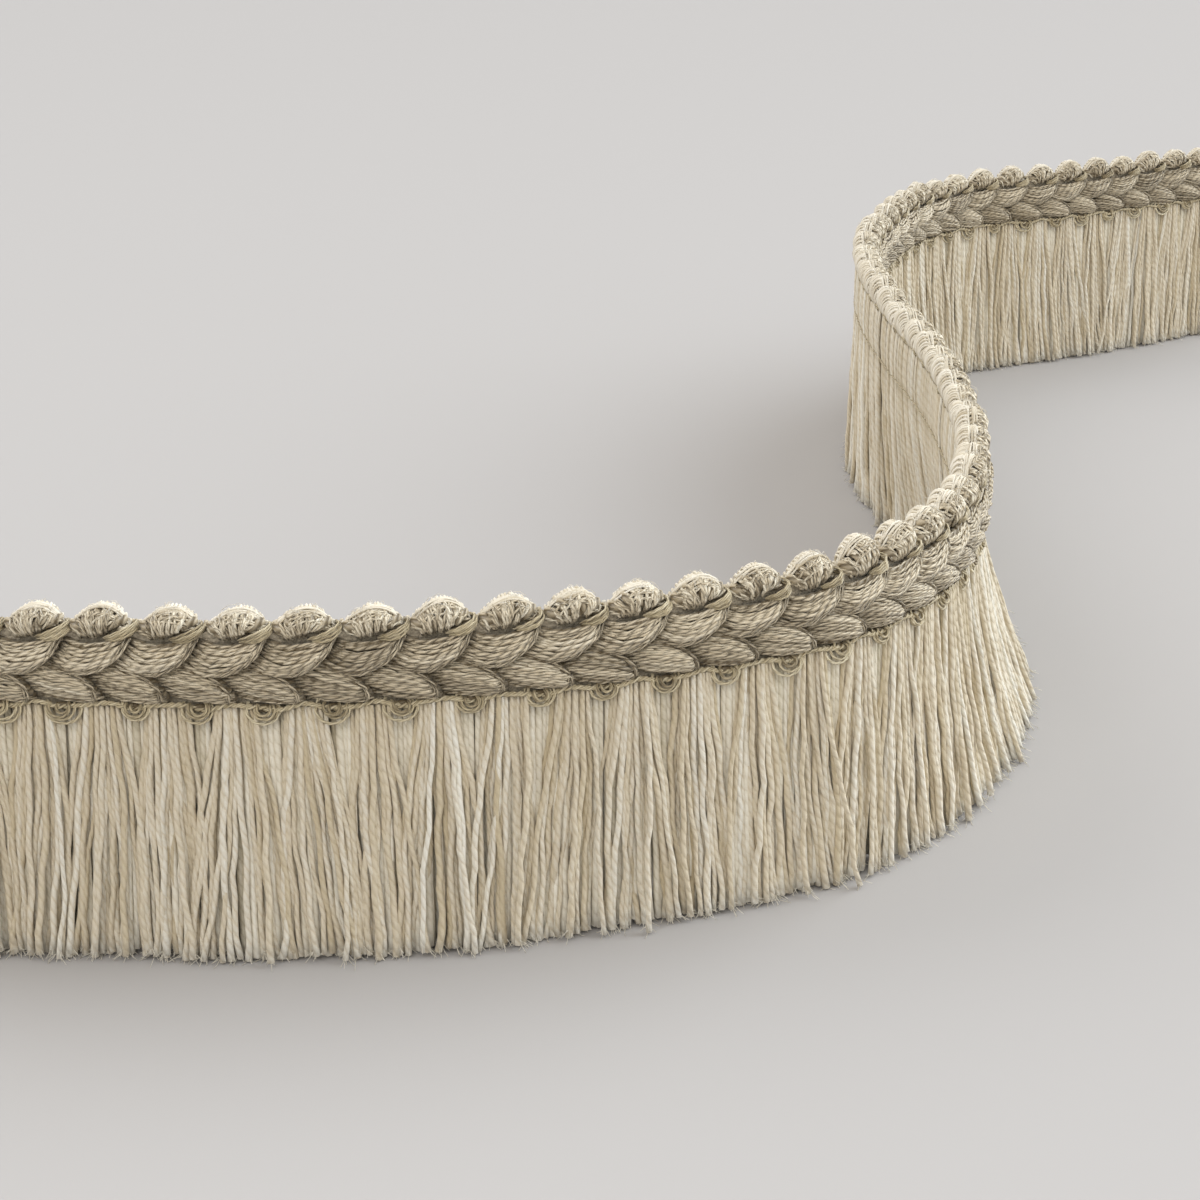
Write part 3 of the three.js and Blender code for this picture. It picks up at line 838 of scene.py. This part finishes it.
def yarnPaths(dice, along, layer, rings):
    count = len(along)
    foot = skirt["footLow"] + (skirt["footHigh"] - skirt["footLow"]) * dice.uniform(0, 1, count) ** 1.6
    share = np.linspace(0, 1, rings)[None, :]
    height = layer["top"] + (foot[:, None] - layer["top"]) * share
    below = np.clip((trim["headingFoot"] - height) / trim["headingFoot"], 0, 1)
    lean = commonLean(along) * layer["follow"] + dice.normal(0, layer["lean"], count)
    phase = skirt["gatherPhase"]
    nearest = (np.floor(along / trim["pitch"] - phase + 0.5) + phase) * trim["pitch"]
    gather = layer["gather"] * np.exp(-((below * trim["headingFoot"] / skirt["gatherDepth"]) ** 2))

    def sway(size):
        turns = dice.uniform(0.5, 1.6, count)[:, None] * below + dice.uniform(0, 1, count)[:, None]
        fine = dice.uniform(2.5, 4.5, count)[:, None] * below + dice.uniform(0, 1, count)[:, None]
        tremble = 0.43 * np.minimum(below * 4, 1) * np.sin(2 * math.pi * fine)
        return size * (below * np.sin(2 * math.pi * turns) + tremble)

    slid = along[:, None] + (nearest - along)[:, None] * gather
    slid = slid + lean[:, None] * below ** skirt["leanCurve"] + sway(layer["wave"])
    drift = dice.normal(0, layer["depth"], count)[:, None]
    flare = footOut(along)[:, None] + layer["footOut"] - layer["out"]
    out = layer["out"] + flare * below ** skirt["flareCurve"]
    out = out + drift * (0.5 + 2.2 * below) + sway(0.8 * layer["wave"])
    if layer["top"] > trim["headingFoot"] + 1:
        upperStitch, lowerStitch = stitchLines["heights"]
        between = np.clip((height - lowerStitch) / (upperStitch - lowerStitch), 0, 1)
        out = out - 0.3 * np.sin(math.pi * between) * (height > lowerStitch)
    return slid, out, height, below


def makeYarns(name, section, yarns, material, dice):
    rings = yarns["rings"]
    pitches = trim["pitches"] // trim["sections"]
    start = section * pitches * trim["pitch"]
    length = pitches * trim["pitch"]
    allPaths, allRadius, allTone = [], [], []
    for layer in yarns["layers"]:
        count = int(pitches * layer["perPitch"])
        along = start + (np.arange(count) + 0.5) / count * length
        along = np.clip(along + dice.normal(0, layer["jitter"], count), 0.4, trimLength - 0.4)
        slid, out, height, below = yarnPaths(dice, along, layer, rings)
        allPaths.append(place(slid, out, height))
        thick = skirt["radius"] * layer["thick"] * dice.uniform(0.82, 1.15, count)
        atFoot = np.arange(rings)[None, :] == rings - 1
        allRadius.append(thick[:, None] * (1 - 0.25 * (below < 0.02) + 0.08 * below + 0.22 * atFoot))
        underPicot = 0.5 + 0.5 * np.cos(2 * math.pi * (along[:, None] / trim["pitch"] - picots["phase"]))
        # the last ring of each yarn is lighter: partly the pale fuzz of the cut end, partly painted light
        # against the shade at the foot
        tone = layer["tone"] + dice.normal(0, skirt["toneSpread"], (count, 1)) + 0.3 * atFoot
        # painted shade: roots are darker near the top, most of all under the picots
        tone = tone + layer["rootPaintedShade"] * (0.4 + 0.6 * underPicot) * (1 - smoothStep(below / 0.7))
        # painted shade: yarns that hang from the lower edge are darker right under the heading
        allTone.append(tone - 0.12 * (1 - smoothStep(below / 0.08)) * (height < trim["headingFoot"] + 1))
    piece = makeThreads(name, np.concatenate(allPaths), yarns, np.concatenate(allTone), material,
                        np.concatenate(allRadius))
    return piece, allPaths


# Frayed ends: short fibres that stand out of the cut end of each yarn
frays = {"radius": 0.034, "sides": 3, "tone": 0.7, "aside": 0.18, "outward": 0.15, "spread": 0.3,
         "splay": 0.35, "curl": 0.1, "lowest": 0.06}


def makeFrays(name, layerPaths, dice):
    tips, down, outward = [], [], []
    for layer, paths in zip(skirt["outer"]["layers"], layerPaths):
        forward = np.gradient(paths[:, -1], axis=0) * np.array([1, 1, 0])
        away = unit(np.cross(forward, np.array([0, 0, 1]))) * math.copysign(1, layer["out"])
        tips.append(np.repeat(paths[:, -1], layer["frays"], axis=0))
        down.append(np.repeat(unit(paths[:, -1] - paths[:, -2]), layer["frays"], axis=0))
        outward.append(np.repeat(away, layer["frays"], axis=0))
    tips, down, outward = (np.concatenate(rows) for rows in (tips, down, outward))
    side = dice.normal(0, 1, tips.shape) * np.array([1, 1, 0.25])
    start = tips + (side * frays["aside"] + outward * frays["outward"]) * mm
    start = start - down * dice.uniform(0.1, 0.9, (len(tips), 1)) * mm
    reach = down * dice.uniform(0.2, 0.8, (len(tips), 1)) + side * frays["spread"]
    reach = reach + outward * dice.uniform(0, frays["splay"], (len(tips), 1))
    steps = np.array([0.0, 0.5, 1.0])[None, :, None]
    fibres = start[:, None] + (reach[:, None] * steps + side[:, None] * frays["curl"] * steps**2) * mm
    fibres[:, :, 2] = np.maximum(fibres[:, :, 2], frays["lowest"] * mm)
    # the frays' pale tone is painted light too
    tone = np.full(len(fibres), frays["tone"])
    return makeThreads(name, fibres, frays, tone, paintedLightYarn)


def makeSkirtSection(section):
    dice = np.random.default_rng(100 + section)
    number = f"{section + 1:02d}"
    outer, layerPaths = makeYarns("skirt_yarns_" + number, section, skirt["outer"], cottonYarn, dice)
    inner = makeYarns("skirt_inner_yarns_" + number, section, skirt["inner"], paintedLightYarn, dice)[0]
    fibres = makeFrays("skirt_frays_" + number, layerPaths, dice)
    for piece in (outer, inner, fibres):
        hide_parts("skirt_" + number)
    return [outer, inner, fibres]


skirtPieces = [piece for section in range(trim["sections"]) for piece in makeSkirtSection(section)]
print("skirt made")


# Stitch lines on the reverse: a thread that dips between the risers
def makeStitchLines():
    dice = np.random.default_rng(51)
    perPitch = stitchLines["stitchesPerPitch"]
    points = trim["pitches"] * perPitch * stitchLines["pointsPerStitch"] + 1
    share = np.linspace(stitchLines["from"], stitchLines["to"], points)
    rows = []
    for height in stitchLines["heights"]:
        along = share * trimLength
        dip = np.cos(2 * math.pi * along / trim["pitch"] * perPitch)
        out = stitchLines["out"] - stitchLines["dipIn"] * dip
        up = height + stitchLines["dipUp"] * dip + stitchLines["wander"] * np.sin(along)
        rows.append(place(along, out, up))
    tone = dice.normal(stitchLines["tone"], 0.05, len(rows))
    return makeThreads("reverse_stitches", np.array(rows), stitchLines, tone, goldCord)


headingPieces.append(makeStitchLines())


# Tape: the woven ground inside the heading, a thin sheet that stands on edge along the S
tape = {"foot": 26.4, "top": 36.5, "notchTop": 34.1, "notchPhase": 0.05, "thickness": 0.8,
        "columnsPerPitch": 4, "rows": 6}


def makeTape():
    bpy.ops.object.select_all(action="DESELECT")
    columns = trim["pitches"] * tape["columnsPerPitch"]
    bpy.ops.mesh.primitive_grid_add(x_subdivisions=columns, y_subdivisions=tape["rows"], size=1)
    sheet = bpy.context.object
    sheet.name = sheet.data.name = "ground_tape"
    flat = np.array([vertex.co for vertex in sheet.data.vertices])
    along = (flat[:, 0] + 0.5) * trimLength
    wave = 0.5 - 0.5 * np.cos(2 * math.pi * (along / trim["pitch"] - tape["notchPhase"]))
    top = tape["notchTop"] + (tape["top"] - tape["notchTop"]) * wave
    height = tape["foot"] + (top - tape["foot"]) * (flat[:, 1] + 0.5)
    for vertex, point in zip(sheet.data.vertices, place(along, 0, height)):
        vertex.co = point
    layer = sheet.data.uv_layers.new(name="clothUv")
    corner = np.array([loop.vertex_index for loop in sheet.data.loops])
    layer.data.foreach_set("uv", np.stack([along, height], axis=1)[corner].astype(np.float32).ravel())
    solidify = sheet.modifiers.new("thickness", "SOLIDIFY")
    solidify.thickness = tape["thickness"] * mm
    solidify.offset = 0
    bpy.ops.object.modifier_apply(modifier=solidify.name)
    sheet.data.materials.append(tapeWeave)
    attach(sheet, "root")
    return sheet


groundTape = makeTape()
for piece in [groundTape] + headingPieces:
    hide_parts("heading")
print("tape made")


# Floor, light and camera. The size of a sun is its angle in degrees, and that of an area light its width.
stage = {"size": 80.0, "colour": (0.441, 0.425, 0.415, 1), "roughness": 0.9, "specular": 0.1,
         "world": 0.77, "worldColour": (1.0, 0.985, 0.965, 1)}
camera = {"x": -24.0, "y": -350.0, "height": 119.5, "tilt": 20.3, "lens": 73.5, "sensor": 36,
          "nearest": 0.01, "farthest": 200}
lights = [
    {"kind": "SUN", "name": "window", "at": (2.6, 1.3, 1.7), "size": 60, "power": 2.6,
     "colour": (0.89, 0.95, 1.0)},
    {"kind": "SUN", "name": "left_fill", "at": (-1.7, 0.9, 1.6), "size": 50, "power": 1.05,
     "colour": (1.0, 1.0, 1.0)},
    {"kind": "AREA", "name": "front_fill", "at": (-0.4, -1.1, 0.9), "size": 1.0, "power": 4.6,
     "colour": (1.0, 0.98, 0.95)},
    {"kind": "AREA", "name": "right_fill", "at": (1.5, -0.3, 0.8), "size": 1.2, "power": 5.0,
     "colour": (0.86, 0.93, 1.0)},
]


def makeStage():
    bpy.ops.object.select_all(action="DESELECT")
    bpy.ops.mesh.primitive_plane_add(size=stage["size"], location=(0, 0, 0))
    floor = bpy.context.object
    floor.name = "floor"
    material, tree, surface = newMaterial("paleFloor")
    setInputs(surface, {
        "Base Color": stage["colour"], "Roughness": stage["roughness"],
        "Specular IOR Level": stage["specular"],
    })
    floor.data.materials.append(material)
    world = bpy.data.worlds.new("softRoom")
    world.use_nodes = True
    background = world.node_tree.nodes["Background"]
    setInputs(background, {"Color": stage["worldColour"], "Strength": stage["world"]})
    bpy.context.scene.world = world


def aimAt(light, target):
    direction = np.array(target) - np.array(light.location)
    flatLength = math.hypot(direction[0], direction[1])
    light.rotation_euler = (math.atan2(flatLength, -direction[2]), 0, math.atan2(-direction[0], direction[1]))


def makeLights():
    for row in lights:
        bpy.ops.object.light_add(type=row["kind"], location=row["at"])
        light = bpy.context.object
        light.name = row["name"]
        if row["kind"] == "SUN":
            light.data.angle = math.radians(row["size"])
        else:
            light.data.size = row["size"]
        light.data.energy = row["power"]
        light.data.color = row["colour"]
        aimAt(light, (0.0, 0.0, 0.02))


def makeCamera():
    bpy.ops.object.camera_add(location=(camera["x"] * mm, camera["y"] * mm, camera["height"] * mm))
    view = bpy.context.object
    view.name = "photoCamera"
    view.rotation_euler = (math.radians(90 - camera["tilt"]), 0, 0)
    view.data.sensor_width = camera["sensor"]
    view.data.lens = camera["lens"]
    view.data.clip_start = camera["nearest"]
    view.data.clip_end = camera["farthest"]
    bpy.context.scene.camera = view
    bpy.context.scene.view_settings.view_transform = "Standard"


makeStage()
makeLights()
makeCamera()
triangles = sum(len(polygon.vertices) - 2 for mesh in bpy.data.meshes for polygon in mesh.polygons)
print("stage, lights and camera made,", triangles, "triangles in all")
